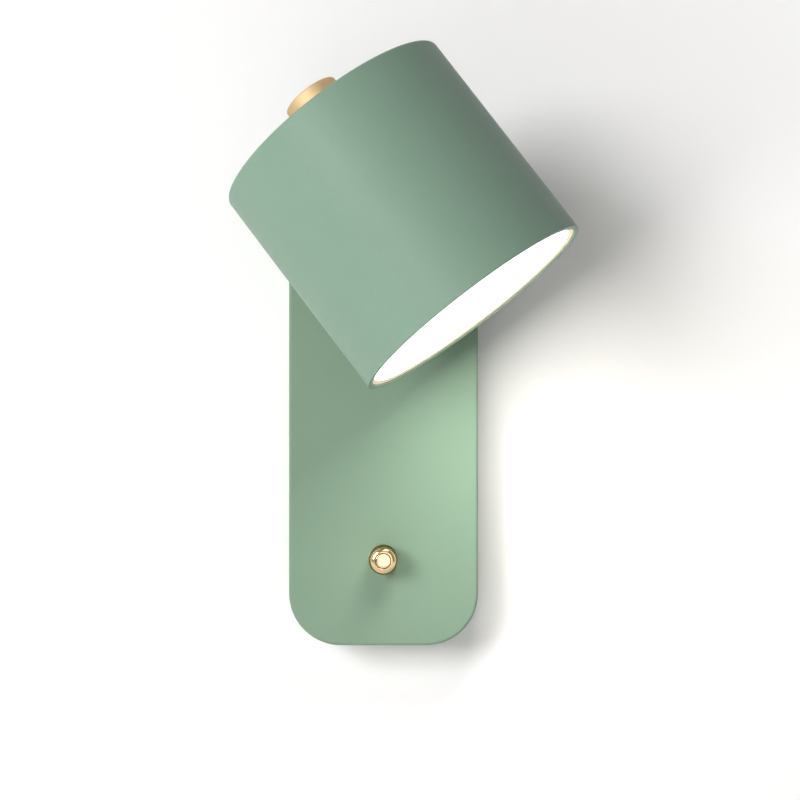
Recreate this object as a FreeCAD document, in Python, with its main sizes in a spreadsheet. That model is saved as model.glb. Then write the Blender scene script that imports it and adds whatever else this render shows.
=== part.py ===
"""Bedside wall reading lamp: a flat rounded canopy on the wall, a brass pan-and-tilt joint near its top,
a cylindrical shade with an integrated LED behind an opal disc, and a brass dimmer knob near the bottom.

Millimetres. The origin is on the wall, midway between the two fixing slots; +Z is up and +Y runs into
the wall, so the lamp stands out along -Y.
"""
import FreeCAD, Part
import math
import os
import re
import Sketcher

Vector = FreeCAD.Vector

# Driving sizes. Every other length is worked out from these by the expressions below.
SIZES = {
    # pose in which the lamp is drawn: the head's turn on the wall, and the mouth's lift off the wall
    "pan_rest": 37.1, "tilt_rest": 6.8,
    # canopy: pressed sheet box, open towards the wall
    "canopy_width": 80, "canopy_height": 220, "canopy_depth": 25, "canopy_wall": 2,
    "canopy_corner": 22, "canopy_edge": 1.2, "post_drop": 35, "knob_rise": 37,
    # wall bracket: bent strap that the canopy slips over
    "bracket_width": 40, "bracket_thick": 1.5, "bracket_gap": 0.2, "tab_depth": 14, "bend_inside": 0.8,
    "slot_inset": 12.8, "slot_width": 4.5, "slot_length": 9,
    # countersunk screws through the canopy's ends into the bracket's tabs
    "side_screw_out": 8, "side_screw_radius": 1.5, "side_screw_head": 2.8, "side_screw_sink": 1.3,
    "side_screw_length": 8,
    # clearances: screw in its hole, running pivot, parts that move past each other, screw ends short of
    # the wall; and how far a cutting shape runs past what it cuts
    "screw_play": 0.05, "running_play": 0.06, "slide_gap": 0.1, "screw_short": 0.2, "overcut": 1,
    # slotted screw heads: slot width over head radius, slot depth over head height
    "drive_width_share": 0.25, "drive_depth_share": 0.45,
    # rubber grommet for the supply cable
    "cable_up": 48, "cable_bore": 4.5, "grommet_sleeve": 7, "grommet_flange": 9, "grommet_lip": 2,
    "grommet_round": 0.7,
    # three-pole terminal block with brass sleeves and clamp screws
    "block_up": 26, "block_width": 27, "block_length": 17, "block_depth": 11, "pole_pitch": 9,
    "sleeve_radius": 2.4, "sleeve_bore": 1.5, "sleeve_length": 13, "sleeve_out": 5, "clamp_radius": 1.3,
    "clamp_pitch": 7, "clamp_sink": 0.8, "block_screw_radius": 1.4, "block_screw_head": 1.9,
    "block_screw_sink": 2, "block_screw_cover": 0.5,
    # earth screw, washer and crimped tag on the bracket
    "earth_side": 13, "earth_up": 62, "earth_screw_radius": 2, "earth_head_radius": 3.5,
    "earth_head_height": 2.5, "earth_washer_radius": 4.5, "earth_washer_thick": 0.8, "tag_radius": 4,
    "tag_thick": 0.8, "tag_barrel": 1.5, "tag_barrel_length": 4.5,
    # single insulated wires, and the twin lead to the head: how far they go in, and where they turn
    "wire_radius": 0.9, "wire_bend": 5, "wire_play": 0.2, "wire_in": 3, "earth_run": 6, "tag_run": 4,
    "lead_radius": 1.2, "lead_bend": 8, "lead_in": 2, "lead_fall": 19, "lead_clear": 5, "lead_out": 6.5,
    # LED driver: tray with ears, case, board and its tallest parts
    "driver_up": -20, "driver_width": 34, "driver_length": 52, "driver_depth": 15.5, "driver_wall": 1.4,
    "driver_corner": 2, "tray_thick": 1.5, "ear_length": 7, "ear_side": 11, "ear_screw_radius": 1.5,
    "ear_head_radius": 2.7, "ear_head_height": 2, "spacer_radius": 2, "spacer_height": 2,
    "board_margin": 1, "board_thick": 1.6, "core_width": 14, "core_height": 7.5, "winding_radius": 5.6,
    "winding_length": 4, "can_radius": 4, "can_height": 9, "can_margin": 1, "lead_side": 13.3, "entry_out": 9,
    # rotary dimmer behind the canopy
    "dimmer_width": 16, "dimmer_depth": 10.5, "bushing_radius": 3.5, "bushing_length": 6,
    "shaft_radius": 2, "shaft_sink": 6, "nut_ring_radius": 5, "nut_ring_height": 2.2,
    "lock_washer_radius": 6, "lock_washer_thick": 1, "pin_pitch": 5, "pin_width": 1.2, "pin_length": 4,
    "pin_depth": 3.5, "sway_share": 0.3,
    # dimmer knob: turned brass, hollow under the skirt, with an inlaid cap
    "knob_radius": 6, "knob_height": 14.5, "knob_gap": 0.3, "knob_shoulder": 2.4, "knob_skirt_wall": 0.7,
    "knob_skirt_depth": 3.5, "knob_bore_depth": 12, "cap_radius": 3.1, "cap_thick": 1.2, "cap_groove": 0.25,
    "grub_radius": 1.25, "grub_length": 2.6, "grub_up": 8, "grub_socket": 1.2,
    # pan pivot: nylon bush in the canopy, brass post, washers, stop and nuts behind
    "bush_flange": 12, "bush_flange_thick": 1, "bush_sleeve": 6, "shank_radius": 5, "post_flange": 12,
    "post_flange_thick": 2.5, "post_hub_radius": 9, "post_hub_height": 1.4, "wire_way": 2.2,
    "slip_radius": 8.7, "slip_thick": 1, "spring_radius": 8.5, "spring_thick": 0.7, "stop_disc_radius": 8,
    "stop_disc_thick": 1.1, "stop_reach": 10.8, "stop_half_width": 0.7, "stop_pin_radius": 0.8,
    "stop_pin_place": 9.75, "nut_flats": 14, "nut_thick": 4, "lock_nut_thick": 3, "shank_beyond": 0.4,
    # tilt pivot: fork on the post, tongue on the head, two shouldered screws
    "pin_out": 12, "cheek_thick": 3.5, "cheek_radius": 6.5, "tongue_half": 4, "tongue_radius": 6,
    "pivot_washer_thick": 0.5, "pivot_washer_radius": 5.5, "pivot_screw_radius": 2.5,
    "pivot_head_radius": 4.5, "pivot_head_height": 2.4, "pivot_screw_reach": 1.5, "lead_break": 0.8,
    "tilt_low": 15, "tilt_high": 35,
    # knuckle that clamps the shade's wall
    "shade_standoff": 12, "saddle_radius": 9, "saddle_thick": 2.2, "seat_play": 0.02, "knuckle_shank": 4.95,
    "knuckle_reach": 11, "knuckle_washer_radius": 9, "knuckle_washer_depth": 3,
    # shade: spun cylinder, closed top
    "shade_radius": 50, "shade_length": 90, "shade_wall": 2, "shade_edge": 1, "pin_above_mouth": 66,
    # diffuser and the ring that keeps it in the mouth
    "diffuser_recess": 1.2, "diffuser_thick": 2, "ring_gap": 0.15, "ring_wall": 0.8, "ring_lip": 0.3,
    "ring_shoulder": 1.9, "ring_back": 2,
    # reflector, LED board and heat sink
    "reflector_wall": 1, "reflector_neck": 1.3, "reflector_play": 0.2, "led_above_mouth": 28.5,
    "led_board_radius": 20, "led_board_thick": 1.6, "pad_thick": 0.5, "chip_count": 12,
    "chip_circle": 11, "chip_long": 3.5, "chip_wide": 2.8, "chip_thick": 0.7, "led_screw_circle": 16.5,
    "led_screw_radius": 1.5, "led_screw_head": 2.7, "led_screw_head_height": 1.6, "led_screw_length": 4.5,
    "sink_gap": 4, "sink_base": 3, "fin_count": 12, "fin_thick": 1.6, "fin_height": 18,
    "fin_start": 6, "boss_radius": 7, "lead_drop": 16.5, "lead_past_board": 0.5,
    # brass top nut on its stud
    "top_radius": 11.4, "top_height": 15.4, "top_edge": 1, "stud_radius": 3, "stud_above": 10,
    "stud_below": 18, "stud_end_gap": 0.5, "stud_hole_play": 0.3,
}

doc = FreeCAD.newDocument("reading_lamp")
sheet = doc.addObject("Spreadsheet::Sheet", "Sizes")
for row, (name, number) in enumerate(SIZES.items(), 1):
    sheet.set(f"A{row}", name)
    sheet.set(f"B{row}", str(number))
    sheet.setAlias(f"B{row}", name)
doc.recompute()

gauge = doc.addObject("App::FeaturePython", "gauge")
gauge.addProperty("App::PropertyFloat", "Reading")
nodes = []


# ---- small tools for a document whose sizes all come from the sheet ----

def sized(text):
    """An expression in which each size name points at its cell."""
    return re.sub(r"[a-z_]+", lambda word: ("Sizes." if word[0] in SIZES else "") + word[0], str(text))


def value(text):
    """What an expression of sizes comes to now."""
    gauge.setExpression("Reading", sized(text))
    gauge.recompute()
    return gauge.Reading


def at(x=0, y=0, z=0, axis="0;0;1", turn=0):
    """A place as an expression."""
    return f"placement(vector({x};{y};{z}); rotation(vector({axis}); {turn}))"


def bind(thing, **entries):
    """Tie properties of an object to expressions."""
    for entry, text in entries.items():
        thing.setExpression(entry, sized(text))
    return thing


def frame(name, parent, place):
    """A named place that pieces are set in."""
    chain = f"{parent}.Placement * {place}" if parent else place
    bind(doc.addObject("App::Placement", name), Placement=chain)


def node(piece, label, base, place=None):
    """Name a finished sub-part and set it in its frame."""
    piece.Label = label
    bind(piece, Placement=f"{base}.Placement * {place}" if place else f"{base}.Placement")
    nodes.append(piece)
    return piece


def rod(radius, length, place=None):
    return bind(doc.addObject("Part::Cylinder", "rod"), Radius=radius, Height=length, Placement=place or at())


def cone(low_radius, high_radius, length, place=None):
    return bind(doc.addObject("Part::Cone", "cone"), Radius1=low_radius, Radius2=high_radius, Height=length,
                Placement=place or at())


def block(wide, deep, tall, x=0, y=0, z=0):
    """A box centred on x and y, standing on z."""
    return bind(doc.addObject("Part::Box", "block"), Length=wide, Width=deep, Height=tall,
                Placement=at(f"({x})-({wide})/2", f"({y})-({deep})/2", z))


def hexagon(flats, length, place=None):
    prism = doc.addObject("Part::Prism", "hexagon")
    prism.Polygon = 6
    return bind(prism, Circumradius=f"({flats})/sqrt(3)", Height=length, Placement=place or at())


def fuse(*pieces):
    joined = doc.addObject("Part::MultiFuse", "fused")
    joined.Shapes = list(pieces)
    return joined


def cut(base, *tools):
    carved = doc.addObject("Part::Cut", "carved")
    carved.Base = base
    carved.Tool = tools[0] if len(tools) == 1 else fuse(*tools)
    return carved


def group(pieces):
    together = doc.addObject("Part::Compound", "group")
    together.Links = pieces
    return together


def tube(outer, inner, length, place=None):
    """A ring or sleeve, bored right through."""
    ring_piece = cut(rod(outer, length), rod(inner, f"({length})+2*overcut", at(z="-overcut")))
    return bind(ring_piece, Placement=place or at())


def screw(head_radius, head_height, radius, length, place=None):
    """A cheese-head screw: seat of the head at z = 0, head above, shank below, with a slot."""
    solid = fuse(rod(head_radius, head_height), rod(radius, length, at(z=f"-({length})")))
    slot = block(f"2*({head_radius})+overcut", f"({head_radius})*drive_width_share", head_height,
                 z=f"({head_height})*(1-drive_depth_share)")
    return bind(cut(solid, slot), Placement=place or at())


def body(label, base, place=None):
    return node(doc.addObject("PartDesign::Body", label + "_body"), label, base, place)


def sketch(piece, plane, x=0, y=0, z=0, turn=0):
    """A drawing on one of the piece's own origin planes, shifted and turned in the plane and moved off it."""
    drawing = piece.newObject("Sketcher::SketchObject", piece.Label + "_sketch")
    origin_plane = [item for item in piece.Origin.OriginFeatures if item.Role == plane + "_Plane"][0]
    drawing.AttachmentSupport = [(origin_plane, "")]
    drawing.MapMode = "FlatFace"
    return bind(drawing, AttachmentOffset=at(x, y, z, turn=turn))


def dimension(drawing, kind, text, *where):
    number = drawing.addConstraint(Sketcher.Constraint(kind, *where, value(text)))
    drawing.setExpression(f"Constraints[{number}]", sized(text))


def outline(drawing, corners):
    """A closed outline of straight lines; each corner is held at (across, up) from the drawing's origin."""
    spots = [Vector(value(across), value(up), 0) for across, up in corners]
    first = drawing.GeometryCount
    last = len(spots) - 1
    for i, spot in enumerate(spots):
        drawing.addGeometry(Part.LineSegment(spot, spots[0 if i == last else i + 1]))
    for i, (across, up) in enumerate(corners):
        following = first if i == last else first + i + 1
        drawing.addConstraint(Sketcher.Constraint("Coincident", first + i, 2, following, 1))
        dimension(drawing, "DistanceX", across, -1, 1, first + i, 1)
        dimension(drawing, "DistanceY", up, -1, 1, first + i, 1)
    return drawing


def oblong(drawing, wide, tall, x=0, y=0):
    """A rectangle centred on (x, y)."""
    left, right = f"({x})-({wide})/2", f"({x})+({wide})/2"
    low, high = f"({y})-({tall})/2", f"({y})+({tall})/2"
    return outline(drawing, [(left, low), (right, low), (right, high), (left, high)])


def circle(drawing, radius, x=0, y=0):
    centre = Vector(value(x), value(y), 0)
    edge = drawing.addGeometry(Part.Circle(centre, Vector(0, 0, 1), value(radius)))
    dimension(drawing, "Radius", radius, edge)
    dimension(drawing, "DistanceX", x, -1, 1, edge, 3)
    dimension(drawing, "DistanceY", y, -1, 1, edge, 3)
    return drawing


def pad(piece, drawing, length, both_ways=False, backwards=False):
    made = piece.newObject("PartDesign::Pad", "pad")
    made.Profile = drawing
    made.Midplane = both_ways
    made.Reversed = backwards
    return bind(made, Length=length)


def pocket(piece, drawing, depth=None, both_ways=False, backwards=False):
    """A cut along the drawing's normal; with no depth it goes right through."""
    made = piece.newObject("PartDesign::Pocket", "pocket")
    made.Profile = drawing
    made.Midplane = both_ways
    made.Reversed = backwards
    if depth is None:
        made.Type = "ThroughAll"
        return made
    return bind(made, Length=depth)


def turned(piece, corners, plane="XZ"):
    """A solid of revolution about the drawing's upright axis, from (radius, height) corners."""
    made = piece.newObject("PartDesign::Revolution", "turned")
    drawing = outline(sketch(piece, plane), corners)
    made.Profile = drawing
    made.ReferenceAxis = (drawing, ["V_Axis"])
    return made


def round_edges(piece, radius, wanted):
    """A fillet on the edges that the test picks from the piece as it stands."""
    doc.recompute()
    base = piece.Tip
    names = [f"Edge{i}" for i, edge in enumerate(base.Shape.Edges, 1) if wanted(edge)]
    made = piece.newObject("PartDesign::Fillet", "rounded")
    made.Base = (base, names)
    return bind(made, Radius=radius)


def near(number, text):
    return abs(number - value(text)) < 0.001


def wire_path(stops, bend):
    """Straight runs through the stops, joined by tangent arcs no larger than bend."""
    points = [Vector(*[value(number) for number in stop]) for stop in stops]
    edges = []
    start = points[0]
    for i in range(1, len(points) - 1):
        run_in, run_out = points[i] - points[i - 1], points[i + 1] - points[i]
        half = run_in.getAngle(run_out) / 2
        share_in = 0.9 if i == 1 else 0.45
        share_out = 0.9 if i == len(points) - 2 else 0.45
        room = min(run_in.Length * share_in, run_out.Length * share_out)
        radius = min(value(bend), room / math.tan(half))
        ahead, away = run_in / run_in.Length, run_out / run_out.Length
        enter = points[i] - ahead * radius * math.tan(half)
        leave = points[i] + away * radius * math.tan(half)
        inward = away - ahead
        middle = points[i] + inward / inward.Length * (radius / math.cos(half) - radius)
        edges += [Part.LineSegment(start, enter).toShape(), Part.Arc(enter, middle, leave).toShape()]
        start = leave
        print(f"bend radius {radius:.1f}")
    edges.append(Part.LineSegment(start, points[-1]).toShape())
    return Part.Wire(edges)


def wire(stops, radius, bend):
    """A round wire along the stops."""
    path = wire_path(stops, bend)
    start = path.Vertexes[0].Point
    towards = path.Edges[0].tangentAt(path.Edges[0].FirstParameter)
    ring_edge = Part.Wire([Part.makeCircle(value(radius), start, towards)])
    solid = path.makePipeShell([ring_edge], True, False)
    ideal = path.Length * math.pi * value(radius) ** 2
    print(f"wire volume over section times length {solid.Volume / ideal:.4f}")
    return solid


def wire_node(solids, label, base):
    """One or more wires as one sub-part."""
    piece = doc.addObject("Part::Feature", label + "_wire")
    piece.Shape = solids[0] if len(solids) == 1 else Part.makeCompound(solids)
    return node(piece, label, base)


# ---- frames: wall, pan pivot, tilt pivot, shade mouth, dimmer ----

POST_UP = "(canopy_height/2-post_drop)"
KNOB_UP = "(knob_rise-canopy_height/2)"
INSIDE = "(canopy_depth-canopy_wall)"                       # inner face of the canopy's front
SHADE_INSIDE = "(shade_radius-shade_wall)"

# x to the right, y up, z out of the wall
frame("wall_frame", None, at(axis="1;0;0", turn=90))
# on the pan axis at the canopy's front, y towards the shade's closed end
frame("pan_frame", "wall_frame", at(0, POST_UP, "canopy_depth", turn="pan_rest"))
# on the tilt axis, which is x; z towards the shade's closed end, y towards the wall
frame("tilt_frame", "pan_frame", at(0, 0, "pin_out", "1;0;0", "-90-tilt_rest"))
# centre of the shade's mouth, z up the shade's own axis
frame("shade_frame", "tilt_frame", at(0, "-shade_standoff-shade_radius", "-pin_above_mouth"))
# on the dimmer's axis at the canopy's front
frame("knob_frame", "wall_frame", at(0, KNOB_UP, "canopy_depth"))


# ---- canopy and wall bracket ----

def make_canopy():
    canopy = body("canopy", "wall_frame")
    pad(canopy, oblong(sketch(canopy, "XY"), "canopy_width", "canopy_height"), "canopy_depth")
    round_edges(canopy, "canopy_corner", lambda edge: near(edge.BoundBox.ZLength, "canopy_depth"))
    doc.recompute()
    solid = canopy.Tip
    back = [f"Face{i}" for i, face in enumerate(solid.Shape.Faces, 1) if near(face.BoundBox.ZMax, 0)]
    shell = canopy.newObject("PartDesign::Thickness", "shell")
    shell.Base = (solid, back)
    shell.Reversed = True
    shell.Join = "Intersection"
    bind(shell, Value="canopy_wall")
    round_edges(canopy, "canopy_edge", lambda edge: near(edge.BoundBox.ZMin, "canopy_depth"))
    holes = circle(sketch(canopy, "XY"), "bush_sleeve+screw_play", 0, POST_UP)
    circle(holes, "bushing_radius+screw_play", 0, KNOB_UP)
    pocket(canopy, holes, backwards=True)
    # countersinks through both end walls, turned about the screws' common line
    ends = sketch(canopy, "YZ", 0, "side_screw_out")
    rim = "side_screw_head+screw_play"
    hole = "side_screw_radius+screw_play"
    for side in ("", "-"):
        outline(ends, [
            (f"{side}(canopy_height/2-canopy_wall-overcut)", 0),
            (f"{side}(canopy_height/2-canopy_wall-overcut)", hole),
            (f"{side}(canopy_height/2-side_screw_sink)", hole),
            (f"{side}(canopy_height/2)", rim),
            (f"{side}(canopy_height/2+overcut)", rim),
            (f"{side}(canopy_height/2+overcut)", 0),
        ])
    sinks = canopy.newObject("PartDesign::Groove", "countersinks")
    sinks.Profile = ends
    sinks.ReferenceAxis = (ends, ["H_Axis"])


def make_wall_bracket():
    bracket = body("wall_bracket", "wall_frame")
    reach = "(canopy_height/2-canopy_wall-bracket_gap)"
    inner = "(canopy_height/2-canopy_wall-bracket_gap-bracket_thick)"
    strap = outline(sketch(bracket, "YZ"), [
        (f"-{reach}", 0), (reach, 0), (reach, "tab_depth"), (inner, "tab_depth"),
        (inner, "bracket_thick"), (f"-{inner}", "bracket_thick"), (f"-{inner}", "tab_depth"),
        (f"-{reach}", "tab_depth"),
    ])
    pad(bracket, strap, "bracket_width", both_ways=True)
    round_edges(bracket, "bend_inside+bracket_thick", lambda edge: (
        near(edge.BoundBox.XLength, "bracket_width") and near(edge.BoundBox.ZMax, 0)))
    round_edges(bracket, "bend_inside", lambda edge: (
        near(edge.BoundBox.XLength, "bracket_width") and near(edge.BoundBox.ZMax, "bracket_thick")
        and near(abs(edge.BoundBox.YMax), inner)))
    slots = sketch(bracket, "XY")
    slot_ends = sketch(bracket, "XY")
    for side in ("", "-"):
        centre = f"{side}({reach}-slot_inset)"
        oblong(slots, "slot_width", "slot_length-slot_width", 0, centre)
    pocket(bracket, slots, backwards=True)
    for side in ("", "-"):
        for shift in ("+", "-"):
            end = f"{side}({reach}-slot_inset){shift}(slot_length-slot_width)/2"
            circle(slot_ends, "slot_width/2", 0, end)
    pocket(bracket, slot_ends, backwards=True)
    holes = circle(sketch(bracket, "XY"), "grommet_sleeve+screw_play", 0, "cable_up")
    circle(holes, "block_screw_radius+screw_play", "pole_pitch/2", "block_up")
    circle(holes, "earth_screw_radius+screw_play", "-earth_side", "earth_up")
    for side in ("-", "+"):
        ear = f"driver_up{side}(driver_length+ear_length)/2"
        circle(holes, "ear_screw_radius+screw_play", "-ear_side", ear)
    pocket(bracket, holes, backwards=True)
    tapped = circle(sketch(bracket, "XZ"), "side_screw_radius+screw_play", 0, "side_screw_out")
    pocket(bracket, tapped, both_ways=True)


def make_side_screws():
    made = []
    for turn in (-90, 90):
        tip = "side_screw_sink"
        solid = fuse(cone("side_screw_radius", "side_screw_head", tip, at(z=f"-{tip}")),
                     rod("side_screw_radius", f"side_screw_length-{tip}", at(z="-side_screw_length")))
        slot = block("2*side_screw_head+overcut", "side_screw_head*drive_width_share", "overcut",
                     z="-side_screw_sink*drive_depth_share")
        end = "canopy_height/2" if turn < 0 else "-canopy_height/2"
        made.append(bind(cut(solid, slot), Placement=at(0, end, "side_screw_out", "1;0;0", turn)))
    node(group(made), "canopy_screws", "wall_frame")


def make_cable_grommet():
    grommet = body("cable_grommet", "wall_frame", at(0, "cable_up"))
    turned(grommet, [
        ("cable_bore", 0), ("grommet_sleeve", 0), ("grommet_sleeve", "bracket_thick"),
        ("grommet_flange", "bracket_thick"), ("grommet_flange", "bracket_thick+grommet_lip"),
        ("cable_bore", "bracket_thick+grommet_lip"),
    ])
    round_edges(grommet, "grommet_round", lambda edge: (
        near(edge.BoundBox.ZMin, "bracket_thick+grommet_lip")
        and near(edge.BoundBox.XLength, "2*grommet_flange")))


# ---- terminal block and earth ----

POLES = ("-pole_pitch", "0", "pole_pitch")


def make_terminals():
    terminal = body("terminal_block", "wall_frame", at(0, "block_up", "bracket_thick"))
    pad(terminal, oblong(sketch(terminal, "XY"), "block_width", "block_length"), "block_depth")
    ways = sketch(terminal, "XZ")
    drops = sketch(terminal, "XY", z="block_depth")
    sleeves = []
    clamps = []
    for pole in POLES:
        circle(ways, "sleeve_radius+screw_play", pole, "sleeve_out")
        place = at(pole, "block_up-sleeve_length/2", "bracket_thick+sleeve_out", "1;0;0", -90)
        sleeves.append(tube("sleeve_radius", "sleeve_bore", "sleeve_length", place))
        for side in ("-", ""):
            along = f"{side}clamp_pitch/2"
            circle(drops, "clamp_radius+screw_play", pole, along)
            length = "block_depth-clamp_sink-sleeve_out-sleeve_radius-slide_gap"
            clamp = cut(rod("clamp_radius", length),
                        block("2*clamp_radius+overcut", "clamp_radius*drive_width_share", "overcut",
                              z=f"({length})-clamp_radius*drive_depth_share"))
            low = "bracket_thick+sleeve_out+sleeve_radius+slide_gap"
            clamps.append(bind(clamp, Placement=at(pole, f"block_up+{along}", low)))
    pocket(terminal, ways, both_ways=True)
    pocket(terminal, drops, "block_depth-sleeve_out")
    fixing = sketch(terminal, "XY", z="block_depth")
    circle(fixing, "block_screw_head+screw_play", "pole_pitch/2", 0)
    pocket(terminal, fixing, "block_screw_sink+block_screw_cover")
    through = sketch(terminal, "XY", z="block_depth")
    pocket(terminal, circle(through, "block_screw_radius+screw_play", "pole_pitch/2", 0))
    node(group(sleeves), "terminal_sleeves", "wall_frame")
    node(group(clamps), "terminal_screws", "wall_frame")
    seat = "bracket_thick+block_depth-block_screw_sink-block_screw_cover"
    node(screw("block_screw_head", "block_screw_sink", "block_screw_radius", f"{seat}-screw_short"),
         "terminal_fixing_screw", "wall_frame", at("pole_pitch/2", "block_up", seat))


def make_earth():
    spot = {"x": "-earth_side", "y": "earth_up"}
    crimp = "(earth_washer_radius+slide_gap)"
    node(tube("earth_washer_radius", "earth_screw_radius+screw_play", "earth_washer_thick"),
         "earth_washer", "wall_frame", at(z="bracket_thick", **spot))
    ring_piece = rod("tag_radius", "tag_thick")
    neck = block("tag_barrel", f"{crimp}-tag_radius/2", "tag_thick", 0, f"-({crimp}+tag_radius/2)/2")
    barrel = rod("tag_barrel", "tag_barrel_length", at(0, f"-{crimp}", "tag_thick", "1;0;0", 90))
    eye = rod("earth_screw_radius+screw_play", "tag_thick+2*overcut", at(z="-overcut"))
    wire_hole = rod("wire_radius+screw_play", "wire_in+overcut",
                    at(0, f"-{crimp}-tag_barrel_length+wire_in", "tag_thick", "1;0;0", 90))
    node(cut(fuse(ring_piece, neck, barrel), eye, wire_hole), "earth_tag", "wall_frame",
         at(z="bracket_thick+earth_washer_thick", **spot))
    seat = "bracket_thick+earth_washer_thick+tag_thick"
    node(screw("earth_head_radius", "earth_head_height", "earth_screw_radius", f"{seat}-screw_short"),
         "earth_screw", "wall_frame", at(z=seat, **spot))
    level = "bracket_thick+earth_washer_thick+tag_thick"
    pole_level = "bracket_thick+sleeve_out"
    mouth = "block_up+sleeve_length/2"
    barrel_end = f"earth_up-{crimp}-tag_barrel_length"
    wire_node([wire([
        ("-pole_pitch", f"{mouth}-wire_in", pole_level),
        ("-pole_pitch", f"{mouth}+earth_run", pole_level),
        ("-earth_side", f"{barrel_end}-tag_run", level),
        ("-earth_side", f"{barrel_end}+wire_in", level),
    ], "wire_radius", "wire_bend")], "earth_lead", "wall_frame")


# ---- LED driver ----

def make_driver():
    tray = body("driver_tray", "wall_frame", at(0, "driver_up", "bracket_thick"))
    pad(tray, oblong(sketch(tray, "XY"), "driver_width", "driver_length+2*ear_length"), "tray_thick")
    round_edges(tray, "driver_corner", lambda edge: near(edge.BoundBox.ZLength, "tray_thick"))
    spacers = sketch(tray, "XY", z="tray_thick")
    across = "(driver_width/2-driver_wall-board_margin-spacer_radius)"
    along = "(driver_length/2-driver_wall-board_margin-spacer_radius)"
    for x_side in ("-", ""):
        for y_side in ("-", ""):
            circle(spacers, "spacer_radius", f"{x_side}{across}", f"{y_side}{along}")
    pad(tray, spacers, "spacer_height")
    ears = sketch(tray, "XY")
    for side in ("-", ""):
        circle(ears, "ear_screw_radius+screw_play", "-ear_side", f"{side}(driver_length+ear_length)/2")
    pocket(tray, ears, backwards=True)

    case = body("driver_case", "wall_frame", at(0, "driver_up", "bracket_thick+tray_thick"))
    pad(case, oblong(sketch(case, "XY"), "driver_width", "driver_length"), "driver_depth")
    round_edges(case, "driver_corner", lambda edge: near(edge.BoundBox.ZLength, "driver_depth"))
    doc.recompute()
    solid = case.Tip
    shell = case.newObject("PartDesign::Thickness", "shell")
    open_side = [f"Face{i}" for i, face in enumerate(solid.Shape.Faces, 1) if near(face.BoundBox.ZMax, 0)]
    shell.Base = (solid, open_side)
    shell.Reversed = True
    shell.Join = "Intersection"
    bind(shell, Value="driver_wall")
    level = "entry_out-tray_thick"
    # mains wires and the twin lead enter at the top end, the dimmer's wires at the bottom end
    top = sketch(case, "XZ")
    circle(top, "wire_radius+wire_play", 0, "sleeve_out-tray_thick")
    circle(top, "wire_radius+wire_play", "pole_pitch", "sleeve_out-tray_thick")
    circle(top, "lead_radius+wire_play", "lead_side", level)
    pocket(case, top, "driver_length")
    bottom = sketch(case, "XZ")
    circle(bottom, "wire_radius+wire_play", "-pin_pitch", level)
    circle(bottom, "wire_radius+wire_play", "pin_pitch", level)
    pocket(case, bottom, "driver_length", backwards=True)

    board_low = "bracket_thick+tray_thick+spacer_height"
    board_wide = "driver_width-2*driver_wall-2*board_margin"
    board_long = "driver_length-2*driver_wall-2*board_margin"
    node(block(board_wide, board_long, "board_thick"), "driver_board", "wall_frame",
         at(f"-({board_wide})/2", f"driver_up-({board_long})/2", board_low))
    on_board = f"{board_low}+board_thick"
    # transformer: a ferrite block with its round winding showing on both sides
    core = block("core_width", "core_width", "core_height")
    winding = rod("winding_radius", "core_width+winding_length",
                  at(0, "core_width/2+winding_length/2", "core_height/2", "1;0;0", 90))
    winding.setExpression("Radius", sized("min(winding_radius;core_height/2)"))
    node(fuse(core, winding), "driver_transformer", "wall_frame",
         at("-core_width/4", "driver_up", on_board))
    side = "driver_width/2-driver_wall-board_margin-can_radius-can_margin"
    node(rod("can_radius", "can_height"), "driver_capacitor", "wall_frame",
         at(side, "driver_up-driver_length/4", on_board))
    screws = []
    for side in ("-", "+"):
        place = at("-ear_side", f"driver_up{side}(driver_length+ear_length)/2", "bracket_thick+tray_thick")
        screws.append(screw("ear_head_radius", "ear_head_height", "ear_screw_radius",
                            "bracket_thick+tray_thick-screw_short", place))
    node(group(screws), "driver_screws", "wall_frame")

    mains = []
    for pole in POLES[1:]:
        high = "block_up-sleeve_length/2+wire_in"
        low = "driver_up+driver_length/2-driver_wall-board_margin+slide_gap"
        mains.append(rod("wire_radius", f"({high})-({low})",
                         at(pole, high, "bracket_thick+sleeve_out", "1;0;0", 90)))
    node(group(mains), "mains_leads", "wall_frame")
    end = "driver_up+driver_length/2"
    wire_node([wire([
        (0, POST_UP, f"{INSIDE}-slip_thick-spring_thick-stop_disc_thick-nut_thick-lock_nut_thick"
                     "-shank_beyond-5*slide_gap"),
        (0, POST_UP, "bracket_thick+2*lead_radius"),
        ("bracket_width/2+lead_clear", f"{POST_UP}-lead_fall", "bracket_thick+2*lead_radius"),
        ("bracket_width/2+lead_clear", "block_up-block_length/2", "lead_out"),
        ("lead_side", f"{end}+ear_length", "bracket_thick+entry_out"),
        ("lead_side", f"{end}-driver_wall-lead_in", "bracket_thick+entry_out"),
    ], "lead_radius", "lead_bend")], "output_lead", "wall_frame")


# ---- dimmer and its knob ----

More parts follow.
